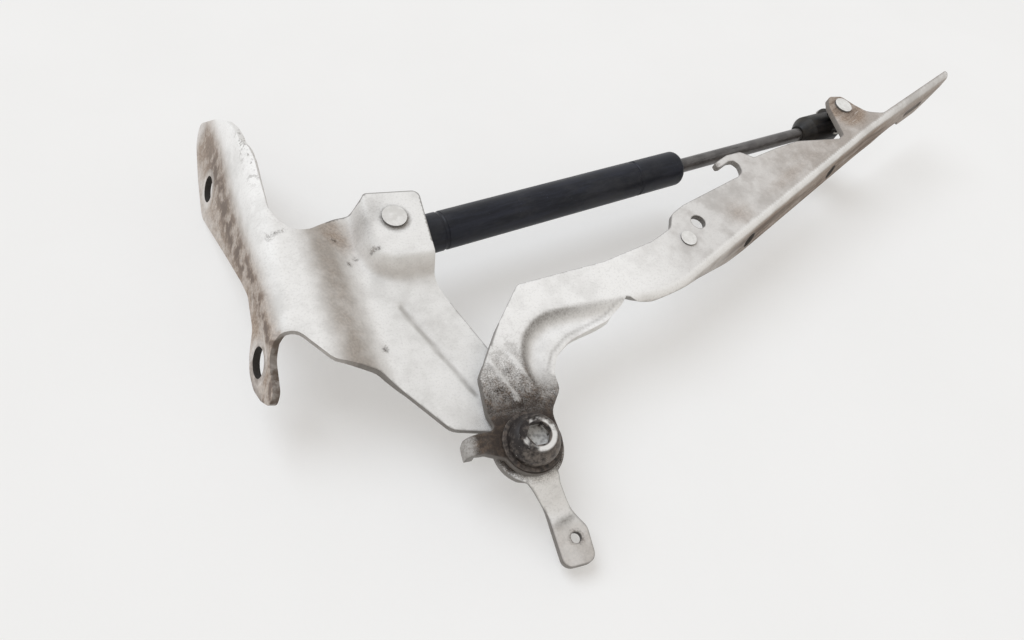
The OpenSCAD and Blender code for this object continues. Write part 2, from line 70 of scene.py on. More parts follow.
def fillet(points, out_r, in_r):
    """A closed outline with its corners rounded, convex ones by out_r and hollow ones by in_r.

    A point may carry a radius of its own.
    """
    pts = [np.array(p[:2], float) for p in points]
    own = [p[2] if len(p) > 2 else None for p in points]
    n = len(pts)
    area = sum(pts[i][0] * pts[(i + 1) % n][1] - pts[(i + 1) % n][0] * pts[i][1] for i in range(n))
    out = []
    for i in range(n):
        a, b, c = pts[i - 1], pts[i], pts[(i + 1) % n]
        u, v = a - b, c - b
        lu, lv = np.linalg.norm(u), np.linalg.norm(v)
        u, v = u / lu, v / lv
        cross = u[0] * v[1] - u[1] * v[0]
        convex = (cross < 0) == (area > 0)
        r = own[i] if own[i] is not None else (out_r if convex else in_r)
        half = math.acos(float(np.clip(u @ v, -1, 1))) / 2
        if r <= 0 or half > STRAIGHT:
            out.append(b)
            continue
        t = min(r / math.tan(half), REACH * min(lu, lv))
        r = t * math.tan(half)
        mid = (u + v) / np.linalg.norm(u + v)
        centre = b + mid * (r / math.sin(half))
        p0, p1 = b + u * t - centre, b + v * t - centre
        a0 = math.atan2(p0[1], p0[0])
        turn = (math.atan2(p1[1], p1[0]) - a0 + math.pi) % (2 * math.pi) - math.pi
        k = max(2, int(abs(turn) / ARC_STEP))
        for j in range(k + 1):
            w = a0 + turn * j / k
            out.append(centre + r * np.array([math.cos(w), math.sin(w)]))
    return np.array(out)


def resample(loop):
    """A closed loop with no edge longer than a step."""
    out = []
    for a, b in zip(loop, np.roll(loop, -1, axis=0)):
        k = max(1, int(math.ceil(np.linalg.norm(b - a) / STEP)))
        for j in range(k):
            out.append(a + (b - a) * j / k)
    out = np.array(out)
    keep = np.linalg.norm(out - np.roll(out, 1, axis=0), axis=1) > CLOSEST
    return out[keep]


def ring(x, y, r, n=48):
    a = np.linspace(0, 2 * math.pi, n, endpoint=False)
    return np.stack([x + r * np.cos(a), y + r * np.sin(a)], axis=1)


def inside(p, loops):
    """Which points lie inside an odd number of loops."""
    odd = np.zeros(len(p), bool)
    for loop in loops:
        for a, b in zip(loop, np.roll(loop, -1, axis=0)):
            if a[1] == b[1]:
                continue
            hit = (a[1] > p[:, 1]) != (b[1] > p[:, 1])
            x = a[0] + (p[:, 1] - a[1]) * (b[0] - a[0]) / (b[1] - a[1])
            odd ^= hit & (p[:, 0] < x)
    return odd


def to_line(p, line, closed=False):
    """Distance from points to a polyline."""
    line = np.asarray(line, float)
    best = np.full(len(p), 1e9)
    ends = np.roll(line, -1, axis=0) if closed else line[1:]
    for a, b in zip(line, ends):
        u = b - a
        t = np.clip(((p - a) @ u) / max(u @ u, 1e-9), 0, 1)
        best = np.minimum(best, np.linalg.norm(p - a - t[:, None] * u, axis=1))
    return best


def signed(p, poly):
    """Distance to a closed outline, negative inside."""
    poly = np.asarray(poly, float)
    d = to_line(p, poly, True)
    return np.where(inside(p, [poly]), -d, d)


def sheet_mesh(name, outer, holes, form, masks, thick):
    """A pressed sheet: its flat outline filled with even triangles, bent to its form and made thick."""
    loops = [resample(loop) for loop in (outer, *holes)]
    low, high = loops[0].min(axis=0), loops[0].max(axis=0)
    xs = np.arange(low[0], high[0], STEP)
    ys = np.arange(low[1], high[1], STEP * ROW)
    grid = np.array([(x + (j % 2) * STEP / 2, y) for j, y in enumerate(ys) for x in xs])
    grid = grid[inside(grid, loops)]
    for loop in loops:
        grid = grid[to_line(grid, loop, True) > CLEAR * STEP]
    points, edges = [], []
    for loop in loops:
        k = len(points)
        points += [Vector(p) for p in loop.tolist()]
        edges += [(k + i, k + (i + 1) % len(loop)) for i in range(len(loop))]
    points += [Vector(p) for p in grid.tolist()]
    v, _, f, *_ = delaunay_2d_cdt(points, edges, [], 0, 1e-5, False)
    v = np.array([tuple(p) for p in v])
    f = np.array(f)
    one, two = v[f[:, 1]] - v[f[:, 0]], v[f[:, 2]] - v[f[:, 0]]
    broad = np.abs(one[:, 0] * two[:, 1] - one[:, 1] * two[:, 0]) > SLIVER
    f = f[broad & inside(v[f].mean(axis=1), loops)]
    used = np.unique(f)
    back = np.zeros(len(v), int)
    back[used] = np.arange(len(used))
    v, f = v[used], back[f]
    mesh = bpy.data.meshes.new(name)
    mesh.from_pydata((form(v) * MM).tolist(), [], f.tolist())
    edge = np.min([to_line(v, loop, True) for loop in loops], axis=0)
    for key, values in masks(v, edge).items():
        layer = mesh.attributes.new(key, "FLOAT", "POINT")
        layer.data.foreach_set("value", np.clip(values, 0, 1).astype(np.float32))
    mesh.update()
    normals = np.empty(3 * len(v), np.float32)
    mesh.vertex_normals.foreach_get("vector", normals)
    mesh.attributes.new("face", "FLOAT_VECTOR", "POINT").data.foreach_set("vector", normals)
    obj = bpy.data.objects.new(name, mesh)
    bpy.context.scene.collection.objects.link(obj)
    mesh.polygons.foreach_set("use_smooth", np.ones(len(mesh.polygons), bool))
    shell = obj.modifiers.new("thickness", "SOLIDIFY")
    shell.thickness = thick * MM
    shell.offset = -1
    rim = obj.modifiers.new("rim", "BEVEL")
    rim.limit_method = "ANGLE"
    rim.angle_limit = EDGE_TURN
    rim.width = EDGE_BREAK * MM
    rim.segments = 2
    return obj


# Body bracket: the flat x runs on round the flange bend and down the flange

BEND_X, BEND_R, BEND_TURN = -83.0, 10.0, math.radians(70)
BEND_END = BEND_X - BEND_R * BEND_TURN
# Heights of the shelf and the pad over the web, depth of the groove and the tab's dish, and drop of the tab
SHELF, PAD_Z, GROOVE_Z, DISH_Z, TAB_Z = 8.0, 10, 1.0, 0.5, 12


def flange(y, q):
    """The flat place of a point at height y, q down the flange from its bend."""
    return [BEND_END - q, y]


# Holes: the body bolts as places on the flange, then the pivot, the stud in the pad and the thread in the tab
LOW, HIGH, BODY_BOLT_R = (58, 12), (170, 43), 6.5
PIVOT_R, BOSS_R = 4.05, 15
PAD_STUD, STUD_R = (-33, 109.5), 4.05
TAB_HOLE, TAB_HOLE_R = (13, -37), 2.25
bracket_outer = fillet([
    [-70, 107.6, 7], [-77, 109.2, 5], [-81, 113.5, 6], [-84.4, 120, 8], [-85.8, 136, 10], [-86.7, 148, 8],
    [-88.4, 155.6, 4], [-92.6, 162.4, 5], [-93.6, 166, 5], [-98, 175, 8], [-104.2, 184, 10],
    flange(196, 21) + [14], flange(213, 43) + [13], flange(208, 52) + [11],
    flange(186, 56) + [9], flange(163, 57) + [12], flange(123, 32) + [9], flange(100, 18) + [9],
    flange(90, 13) + [7], flange(74, 13) + [5], flange(66, 20) + [5], flange(59, 22.8) + [8],
    flange(50, 21) + [10], flange(42.4, 15) + [9], flange(36.6, 7.4) + [4], flange(39.6, 2) + [4],
    flange(53, 1) + [5], [-91.4, 58.5, 5],
    [-87, 61, 4], [-81, 61, 6], [-69, 46.5, 8], [-52, 41.5, 6], [-29, 12.5, 8], [-12.5, 8.6, 5],
    *[[*polar(BOSS_R, a), 0] for a in range(152, 250, 7)], [-4.6, -14.6, 3], [4, -26, 6], [4.5, -47.6, 4],
    [18.5, -47.6, 4], [19, -34, 5], [9.2, -16.5, 4], *[[*polar(BOSS_R, a), 0] for a in range(-53, 40, 7)],
    [10.5, 10.5, 3], [-17, 73, 10], [-19, 79.5, 8], [-19, 123.5, 3.5], [-44, 123.5, 2.5], [-45.5, 121, 3],
    [-57, 117, 12],
], 3, 6)
PAD = fillet([[-48.5, 98.5], [-44.5, 90], [-36, 86.3], [-5, 88], [-5, 140], [-47, 140]], 7, 3)
GROOVE = [[-36.4, 70], [-14.6, 26.5]]
JOGGLE_AT, JOGGLE_TURN = (-66, 60), math.radians(5)


def bracket_levels(v):
    """Distance across the joggle, and how far each point is down the joggle and up the pad."""
    x, y = v[:, 0], v[:, 1]
    run = (x - JOGGLE_AT[0]) * math.cos(JOGGLE_TURN) + (y - JOGGLE_AT[1]) * math.sin(JOGGLE_TURN)
    step = ss(run, -2, 20)
    pad = 1 - ss(signed(v, PAD), -3.4, 3.4)
    return run, step, pad


def bracket_form(v):
    x, y = v[:, 0], v[:, 1]
    _, step, pad = bracket_levels(v)
    z = SHELF * (1 - step)
    z = z + (PAD_Z - z) * pad
    z -= GROOVE_Z * bell(to_line(v, GROOVE), 0, 1.5) * (1 - pad)
    z -= TAB_Z * ss(-y, 12.5, 27.5) * (x > -8)
    # The tab's end is dished a little between its raised rims
    z -= DISH_Z * ss(-y, 27, 31) * np.clip(1 - ((x - 11.5) / 6.5) ** 2, 0, 1) * (1 - ss(-y, 43, 48))
    out = np.stack([x, y, z], axis=1)
    a = np.clip(BEND_X - x, 0, None)
    w = np.minimum(a / BEND_R, BEND_TURN)
    q = np.clip(a - BEND_R * BEND_TURN, 0, None)
    bent = x < BEND_X
    bx = BEND_X - BEND_R * np.sin(w) - q * math.cos(BEND_TURN)
    bz = SHELF - BEND_R * (1 - np.cos(w)) - q * math.sin(BEND_TURN)
    out[bent, 0] = bx[bent]
    out[bent, 2] = bz[bent]
    return out


# Middle of the dark dirt on the flange, as flat places from the lower lobe up
BAND = np.array([
    [-101, 36], [-97.2, 42], [-93, 49], [-92.8, 58], [-94, 68], [-95.7, 78], [-99.5, 91], [-105.7, 105],
    [-112.6, 120], [-117.7, 138], [-120.6, 155], [-123.3, 175], [-129.8, 195], [-132, 204],
])
# Dark chips beside the pad: place and width
SPECKS = ((-45, 94.7, 1.1), (-42.6, 94.4, 0.7), (-51.6, 95.6, 0.9), (-54.9, 92.7, 0.7), (-59.7, 104.5, 0.9))


def blot(v, x, y, wide, tall, turn=0.0):
    """A soft round spot, 1 in its middle."""
    c, s = math.cos(math.radians(turn)), math.sin(math.radians(turn))
    a, b = v[:, 0] - x, v[:, 1] - y
    return np.exp(-(((a * c + b * s) / wide) ** 2 + ((b * c - a * s) / tall) ** 2))


def bracket_masks(v, edge):
    x, y = v[:, 0], v[:, 1]
    run, step, pad = bracket_levels(v)
    a = BEND_X - x
    low = np.linalg.norm(v - flange(*LOW), axis=1)
    high = np.linalg.norm(v - flange(*HIGH), axis=1)
    # Brown dirt on the flange, darkest along its band and fading to the bend and to the far edge
    off = x - np.interp(y, BAND[:, 1], BAND[:, 0])
    wide = 0.45 + 0.55 * ss(y, 60, 125)
    dirt_and_shade = (1 - ss(off, 2 * wide, 17 * wide)) * (1 - 0.3 * ss(-off, 8, 24)) * (a > 0)
    dirt_and_shade *= 1 - 0.55 * ss(y, 198, 210)
    ringed = np.minimum(low, high)
    dirt_and_shade *= 1 - 0.28 * (1 - ss(ringed, 8.5, 11))
    dirt_and_shade = np.maximum(dirt_and_shade, 0.45 * bell(low, 12.3, 1.2) * (a > 6))
    soot = bell(off, -2, 9 * wide) * (1 - 0.6 * ss(y, 168, 200)) * (a > 0)
    soot = np.maximum(soot, 0.8 * (1 - ss(edge, 0.5, 4)) * (a > 4) * (y < 66))
    dirt_and_shade = np.maximum(dirt_and_shade, 0.8 * (1 - ss(edge, 1, 6)) * (a > 4) * (y < 62))
    # Brown on the pad's wall and along the joggle: dirt with painted shade. Then a brown patch left of the pad, and
    # dirt on the tab's end
    wall = 4 * pad * (1 - pad)
    dirt_and_shade = np.maximum(dirt_and_shade, 0.34 * wall * ss(-signed(v, PAD), 2.5, -2.5))
    dirt_and_shade = np.maximum(dirt_and_shade, 0.9 * blot(v, -58.5, 107.5, 8, 11, 15))
    dirt_and_shade = np.maximum(dirt_and_shade, 0.42 * bell(run, 5, 8) * (1 - pad) * (a < 0))
    dirt_and_shade = np.maximum(dirt_and_shade, 0.3 * ss(-y, 28, 34) * (x > -8))
    # Grease and wear round the pivot
    r = np.hypot(x, y)
    dark = 0.85 * (1 - ss(r, 13, 17)) + 0.12 * (1 - ss(r, 16, 30))
    dark *= 1 - 0.75 * ss(-y, 8, 13)
    # Dark marks: painted shade round the thread in the tab, a painted shadow in the notch beside the bend, and
    # chips on the web and beside the pad
    thread = np.hypot(x - TAB_HOLE[0], y - TAB_HOLE[1])
    dark = np.maximum(dark, 0.6 * bell(thread, 2.6, 0.6))
    notch_shadow = to_line(v, [[-86.6, 107], [-86, 104.6], [-84, 107], [-80, 108.4]])
    dark = np.maximum(dark, 0.42 * (1 - ss(notch_shadow, 0.2, 1.3)))
    dark = np.maximum(dark, 0.95 * blot(v, -47.7, 51.2, 0.9, 1.3))
    for px, py, size in SPECKS:
        dark = np.maximum(dark, 0.9 * blot(v, px, py, size, 0.8))
    # Greyer: the tab, more towards its end; painted shade on the joggle's slope, on the flange's bend beside the
    # dirt and on one wall of the groove; and slightly grey on the pad, the shelf and the web past the joggle
    grey = 0.16 * ss(-y, 13, 19) + 0.5 * ss(-y, 28.5, 32)
    bend_shade = bell(off, 13 * wide, 9 * wide) * (a > -4)
    grey = np.maximum(grey, 0.34 * bend_shade * (1 - 0.8 * ss(y, 150, 180)))
    grey = np.maximum(grey, 0.2 * pad + 0.14 * (1 - step) * (a < 0))
    grey = np.maximum(grey, 0.95 * bell(run, 5, 9) * (1 - pad) * (a < 0))
    grey = np.maximum(grey, 0.3 * ss(run, 12, 24) * (a < 0) * (1 - pad) * (y > 8))
    groove_wall_shade = to_line(v, [[-37.2, 69.6], [-15.6, 25.6]])
    grey = np.maximum(grey, 0.8 * (1 - ss(groove_wall_shade, 0.6, 2.4)) * (1 - pad))
    # Grey chips along the edge beside the upper lobe
    chips = 0.95 * (1 - ss(edge, 2.5, 9)) * ss(y, 128, 146) * (1 - ss(y, 178, 192)) * (1 - ss(a, 10, 18))
    chips = np.maximum(chips, 0.1 * (1 - ss(edge, 0.4, 1.2)))
    # Soft shade: beside the pad, across the tab, round the stud and on the pad
    shade = 0.42 * blot(v, -45, 108.5, 6, 10) * (1 - ss(x, -46, -41))
    shade = np.maximum(shade, 0.72 * blot(v, 11, -29.4, 5.5, 1.7, 12))
    shade = np.maximum(shade, 0.75 * (1 - ss(np.hypot(x + 32.8, y - 109.0), 6.0, 7.6)))
    shade = np.maximum(shade, 0.3 * blot(v, -41, 114, 4.5, 6))
    # Bolt holes' walls painted dark, as shade with dirt; cut edges darker low on the web; and a painted shadow line
    # along the outline
    hole = 1 - ss(np.minimum(ringed, thread + 4), 7.4, 9)
    cut = 0.85 - 0.65 * ss(y, 66, 100)
    line = (edge < 0.05) * np.where((y > 95) & (x > -62), 0.85, np.where((x > -60) & (y < 70), 0.6, 0.3))
    return {"dirt_and_shade": dirt_and_shade, "dark": dark, "shade": shade, "grey": grey, "chips": chips, "soot": soot,
            "hole": hole, "cut": cut, "line": line}


bracket_holes = [ring(*flange(*at), BODY_BOLT_R) for at in (LOW, HIGH)]
bracket_holes += [ring(0, 0, PIVOT_R), ring(*PAD_STUD, STUD_R), ring(*TAB_HOLE, TAB_HOLE_R, 32)]
bracket = sheet_mesh("bracket_sheet", bracket_outer, bracket_holes, bracket_form, bracket_masks, BRACKET_THICK)
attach(bracket, "bracket")
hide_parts("body_bracket")

# Bonnet arm: the flat outline runs on round the flange bend beside its line, and down the flange

# Heights of the plate and the pivot eyelet
PLATE, EYE = 7.6, 4.7
# The flange's bend, and its line: a place on it with the heading there, and the straight and curved lead-in
RAIL_R, RAIL_TURN = 5.0, math.radians(78)
RAIL_AT, RAIL_DEG = np.array([101.6, 66.9]), 27.1
LEAD_R, LEAD_DEG, LEAD_FLAT = 60, 22, 20
LEAD = LEAD_R * math.radians(LEAD_DEG)
RAIL_STEP, RAIL_END, TONGUE_DEG = 0.5, 322, 2.5


def rail_line():
    """Stations along the flange line, with their places and headings."""
    s = np.arange(-LEAD - LEAD_FLAT, RAIL_END, RAIL_STEP)
    deg = RAIL_DEG - LEAD_DEG * (1 - np.clip((s + LEAD) / LEAD, 0, 1)) - TONGUE_DEG * ss(s, 186, 206)
    mid = np.radians((deg[1:] + deg[:-1]) / 2)
    moves = RAIL_STEP * np.stack([np.cos(mid), np.sin(mid)], axis=1)
    p = np.concatenate([[[0, 0]], np.cumsum(moves, axis=0)])
    k = int(np.argmin(np.abs(s)))
    here = p[k] - polar(s[k], deg[k])
    return s, p - here + RAIL_AT, deg


RAIL_S, RAIL_P, RAIL_A = rail_line()
RAIL_N = np.stack([np.sin(np.radians(RAIL_A)), -np.cos(np.radians(RAIL_A))], axis=1)


def rail(s, d):
    """The flat place of a point at station s, d outwards from the flange line."""
    k = int(np.argmin(np.abs(RAIL_S - s)))
    return list(RAIL_P[k] + RAIL_N[k] * d)


# Points taken at a time, to spare memory
CHUNK = 2000


def on_rail(v):
    """Station and outward distance of flat points, and how much of the bend they take."""
    near = np.empty(len(v), int)
    for i in range(0, len(v), CHUNK):
        part = v[i:i + CHUNK, None, :] - RAIL_P[None, ::2, :]
        near[i:i + CHUNK] = 2 * np.argmin((part ** 2).sum(axis=2), axis=1)
    off = v - RAIL_P[near]
    along = np.radians(RAIL_A[near])
    t = off[:, 0] * np.cos(along) + off[:, 1] * np.sin(along)
    d = (off * RAIL_N[near]).sum(axis=1)
    s = RAIL_S[near] + t
    share = np.where((d > 0) & (s > -LEAD - LEAD_FLAT), ss(s, -LEAD - 19, -LEAD - 6), 0)
    return near, t, d, share


STOP_X, STOP_R = -23.4, 3.6
# Holes: the eyelet for its bush, the upper ball's stud, the plate's stud and hole, then the flange's bolts and slot
EYE_R, BUSH_R = 13, 6.6
UP = np.array([265, 171.5])
PLATE_STUD, PLATE_STUD_R = (111, 85.5), 3.05
PLATE_HOLE, PLATE_HOLE_R = (121.3, 95), 4.0
BONNET_BOLTS, BOLT_D, BONNET_BOLT_R = (60, 152), 14.8, 4.5
SLOT_S, SLOT_D, SLOT_R = (255, 277), 15, 2
arm_outer = fillet([
    # Eyelet, neck and lip
    *[[*polar(EYE_R, a), 0] for a in range(212, 360, 8)], [*polar(EYE_R, 5), 0], [12.3, 11, 8], [19, 20, 6],
    [19, 28, 10], [22.6, 35, 8], [31, 41.2, 14], [53, 48.8, 12], [61.5, 54.5, 4], [65, 58.4, 0.8],
    # Flange out to its tongue, and back to the ear
    rail(-33, 5) + [5], rail(-24, 7.2) + [10], rail(8, 9) + [20], rail(40, 19.6) + [25], rail(58, 21.7) + [20],
    rail(205, 21.7) + [10], rail(214, 21) + [10], rail(223, 19) + [10], rail(236, 17.8) + [10],
    rail(246.5, 17.8) + [2], rail(249.5, 21.5) + [1.5], rail(275, 21.5) + [10], rail(284, 19) + [15],
    rail(293, 16) + [20], rail(305, 11.1) + [8], rail(309.6, 7) + [2], rail(309.6, 0.4) + [2.5],
    rail(218, -0.2) + [2],
    # Ear over the upper ball
    [292.4, 165.4, 4], [281.9, 166.6, 9], [*(UP + [10, 1]), 6], [*(UP + [4, 8]), 4], [*(UP + [-7, 8]), 5],
    [*(UP + [-11, 0]), 5], rail(171, -4.2) + [2.5], rail(165, -4.2) + [2],
    # Plate with its hook tab
    [249, 145.6, 1.5], [214, 145, 8], [196, 140.5, 8], [177, 134.6, 3], [169.5, 138.9, 4], [159, 136.8, 4],
    [148.4, 131.4, 0.8], [150, 128.2, 0.8], [158.5, 132.6, 3], [162.2, 132.9, 1.4], [164.6, 130, 2.5],
    [164, 125, 3], [160, 122, 4], [117, 106, 8], [108, 101, 5], [104, 93, 5], [90, 86, 10], [60, 77.5, 20],
    # Neck's other side and the stop tab
    [14, 70.5, 4], [-2, 50, 6], [-15, 30, 6], [-15, 14, 6], [-12.6, 7.6, 2.5], [-20, 7.6, 3],
    [-34, 5.5, 1], [-34, -0.5, 1], [-20, -1, 3], [-12.4, -4.4, 2],
], 2, 4)
# Top of the step down to the lip, as the outline of what lies above it, then the lip's edge and the neck's ribs
CREST = fillet([
    [-40, 16], [8.6, 16], [5.4, 28], [5.2, 36], [8.5, 45.5], [15, 52], [23, 55.6], [33, 56.6], [62, 57.8],
    [90, 57.8], [120, 90], [60, 110], [-40, 80],
], 3, 10)
LIP = [[19, 28], [22.6, 35], [31, 41.2], [53, 48.8], [61.5, 54.5]]
NECK_RIBS = ([[-8.6, 35], [-0.4, 17.5]], [[0.5, 37.5], [5.2, 27.5]])
LIP_DIP, RIB_Z = 1.5, 0.8


def arm_levels(v):
    """How far each point is up the neck, and up from the lip."""
    x, y = v[:, 0], v[:, 1]
    far = ss(x, 58, 66)
    neck = np.maximum(ss(y + 0.15 * x, 12, 30), far)
    lip = np.maximum(1 - ss(signed(v, CREST), -0.8, 6.0), far)
    return neck, lip


def arm_form(v):
    x, y = v[:, 0], v[:, 1]
    neck, lip = arm_levels(v)
    z = EYE + (PLATE - EYE) * neck * lip
    # The lip dips under the crest and turns up at its edge
    z -= LIP_DIP * (1 - lip) * bell(signed(v, CREST), 7, 4.0) * ss(y, 22, 34) * (1 - ss(x, 50, 62))
    for line in NECK_RIBS:
        z += RIB_Z * bell(to_line(v, line), 0, 1.05)
    out = np.stack([x, y, z], axis=1)
    near, t, d, share = on_rail(v)
    w = np.minimum(np.clip(d, 0, None) / RAIL_R, RAIL_TURN)
    q = np.clip(d - RAIL_R * RAIL_TURN, 0, None)
    way = RAIL_R * np.sin(w) + q * math.cos(RAIL_TURN)
    along = np.radians(RAIL_A[near])
    heading = np.stack([np.cos(along), np.sin(along)], axis=1)
    flat = RAIL_P[near] + t[:, None] * heading + RAIL_N[near] * way[:, None]
    drop = PLATE - RAIL_R * (1 - np.cos(w)) - q * math.sin(RAIL_TURN)
    bent = np.column_stack([flat, drop])
    out = out + share[:, None] * (bent - out)
    # Stop tab, bent down at its end
    a = np.clip(STOP_X - x, 0, None)
    w = np.minimum(a / STOP_R, math.pi / 2)
    q = np.clip(a - STOP_R * math.pi / 2, 0, None)
    stop = (x < STOP_X) & (y < 12)
    out[stop, 0] = (STOP_X - STOP_R * np.sin(w))[stop]
    out[stop, 2] = (EYE - STOP_R * (1 - np.cos(w)) - q)[stop]
    return out


def arm_masks(v, edge):
    x, y = v[:, 0], v[:, 1]
    near, t, d, share = on_rail(v)
    s = RAIL_S[near] + t
    r = np.hypot(x, y)
    ear = np.hypot(x - UP[0], y - UP[1])
    crest = signed(v, CREST)
    # Greyer paint towards the flange's far end, and round the neck and the ear; less on the bend, where the light
    # band is worn paint and a painted highlight
    grey = 0.04 + 0.68 * ss(x, 66, 125) + 0.24 * ss(x, 170, 250)
    grey *= 1 - share * ss(d, 0.3, 1.6) * (1 - ss(d, 4.4, 6)) * (1 - 0.6 * ss(s, 190, 250))
    grey = np.maximum(grey, 0.24 * (1 - ss(y, 38, 66)) * (x < 40))
    grey = np.maximum(grey, 0.7 * bell(ear, 0, 15))
    # Brown dirt on the flange's outer face, and smears on the plate beside the bend
    dirt_and_shade = 0.95 * share * ss(d, 4.6, 7) * (0.35 + 0.65 * ss(s, 10, 70)) * (1 - 0.25 * ss(s, 205, 250))
    dirt_and_shade = np.maximum(dirt_and_shade, 0.5 * blot(v, 150, 98, 9, 8) * (d < 0))
    dirt_and_shade = np.maximum(dirt_and_shade, 0.45 * blot(v, 196, 121, 26, 6, 27) * (d < 0))
    dirt_and_shade = np.maximum(dirt_and_shade, 0.95 * (1 - ss(ear, 11, 24)))
    dirt_and_shade = np.maximum(dirt_and_shade, 0.34 * ss(x, 130, 235) * (d < 1))
    # Dark wear on the neck and grease round the pivot
    dark = (1 - ss(y, 9, 47)) * (x < 26) * (1 - ss(crest, 1, 4))
    dark = np.maximum(dark, (1 - ss(y, 9, 30)) * (x < 40))
    # Soft shade under the crest, on the neck and along the lip, whose edge stays light
    shade = 0.75 * ss(crest, -0.6, 0.9) * (1 - ss(crest, 1.2, 6.5)) * (x < 64)
    shade *= ss(y, 13, 20) * (1 - 0.75 * ss(x, 22, 58))
    shade = np.maximum(shade, 0.7 * (1 - ss(y, 14, 38)) * ss(crest, 0, 1) * (x < 40))
    shade = np.maximum(shade, 0.5 * (1 - ss(y, 14, 40)) * (x < 24))
    lip_edge = to_line(v, LIP)
    shade = np.maximum(shade, 0.42 * bell(lip_edge, 2.6, 0.8))
    shade *= ss(lip_edge, 0.8, 1.8)
    ribs = np.min([to_line(v, line) for line in NECK_RIBS], axis=0)
    dark *= 1 - 0.95 * (1 - ss(ribs, 0.3, 1.2)) * ss(y, 15, 19)
    dark = np.maximum(dark, 0.6 * blot(v, 149.8, 130, 2.4, 2.4))
    # Stop tab: dark wear, lighter at its curled end, and grey as painted shade on its underside
    stop = (x < -16) & (y < 12)
    dark = np.where(stop, 0.97 * (1 - ss(-x, 21, 25)), dark)
    grey = np.where(stop, 0.5, grey)
    chips = 0.15 * (1 - ss(edge, 0.4, 1.2))
    chips = np.maximum(chips, 0.4 * (1 - ss(y, 40, 62)) * (x < 20) * (1 - ss(crest, -2, 0)))
    chips = np.maximum(chips, 0.35 * share * ss(d, 5, 8))
    # Darkest dirt: the flange's face, the ear and round the pivot; and a painted shadow along the slot
    soot = 0.98 * share * ss(d, 5.5, 11) * (0.78 + 0.22 * bell(s, 60, 25)) * (1 - 0.5 * ss(s, 215, 240))
    soot = np.maximum(soot, 0.7 * (1 - ss(ear, 5, 14)))
    slot_shadow = bell(d, SLOT_D, 1.5) * share * ss(s, 244, 250) * (1 - ss(s, 285, 300))
    soot = np.maximum(soot, 0.7 * slot_shadow)
    soot = np.maximum(soot, 0.95 * (1 - ss(r, 13, 25)))
    # Hole walls painted dark, as shade with dirt; cut edges darker, partly as painted shade, save at the lip; and a
    # painted shadow line along the outline, strongest on the neck's left edge
    hole = np.zeros(len(v))
    for k in BONNET_BOLTS:
        hole = np.maximum(hole, 1 - ss(np.linalg.norm(v - rail(k, BOLT_D), axis=1), 5, 6.5))
    hole = np.maximum(hole, 0.8 * (1 - ss(np.hypot(x - PLATE_HOLE[0], y - PLATE_HOLE[1]), 4.6, 6)))
    cut = np.where(lip_edge < 4, 0.15, 0.5)
    line = (edge < 0.05) * np.where((x < 0) & (y > 12), 0.9, np.where(lip_edge < 4, 0.1, 0.58))
    return {"dirt_and_shade": dirt_and_shade, "dark": dark, "shade": shade, "grey": grey, "chips": chips, "soot": soot,
            "hole": hole, "cut": cut, "line": line}


def slot_ring():
    """Outline of the slot in the flange, as two half rings."""
    a, b = (np.array(rail(s, SLOT_D)) for s in SLOT_S)
    head = math.degrees(math.atan2(b[1] - a[1], b[0] - a[0]))
    turns = range(0, 181, 15)
    near = [a + polar(SLOT_R, head + 90 + k) for k in turns]
    return np.array(near + [b + polar(SLOT_R, head - 90 + k) for k in turns])


arm_holes = [ring(0, 0, BUSH_R), ring(*UP, STUD_R)]
arm_holes += [ring(*PLATE_STUD, PLATE_STUD_R), ring(*PLATE_HOLE, PLATE_HOLE_R)]
arm_holes += [ring(*rail(s, BOLT_D), BONNET_BOLT_R) for s in BONNET_BOLTS] + [slot_ring()]
arm = sheet_mesh("arm_sheet", arm_outer, arm_holes, arm_form, arm_masks, ARM_THICK)
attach(arm, "arm")
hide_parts("bonnet_arm")


# Materials

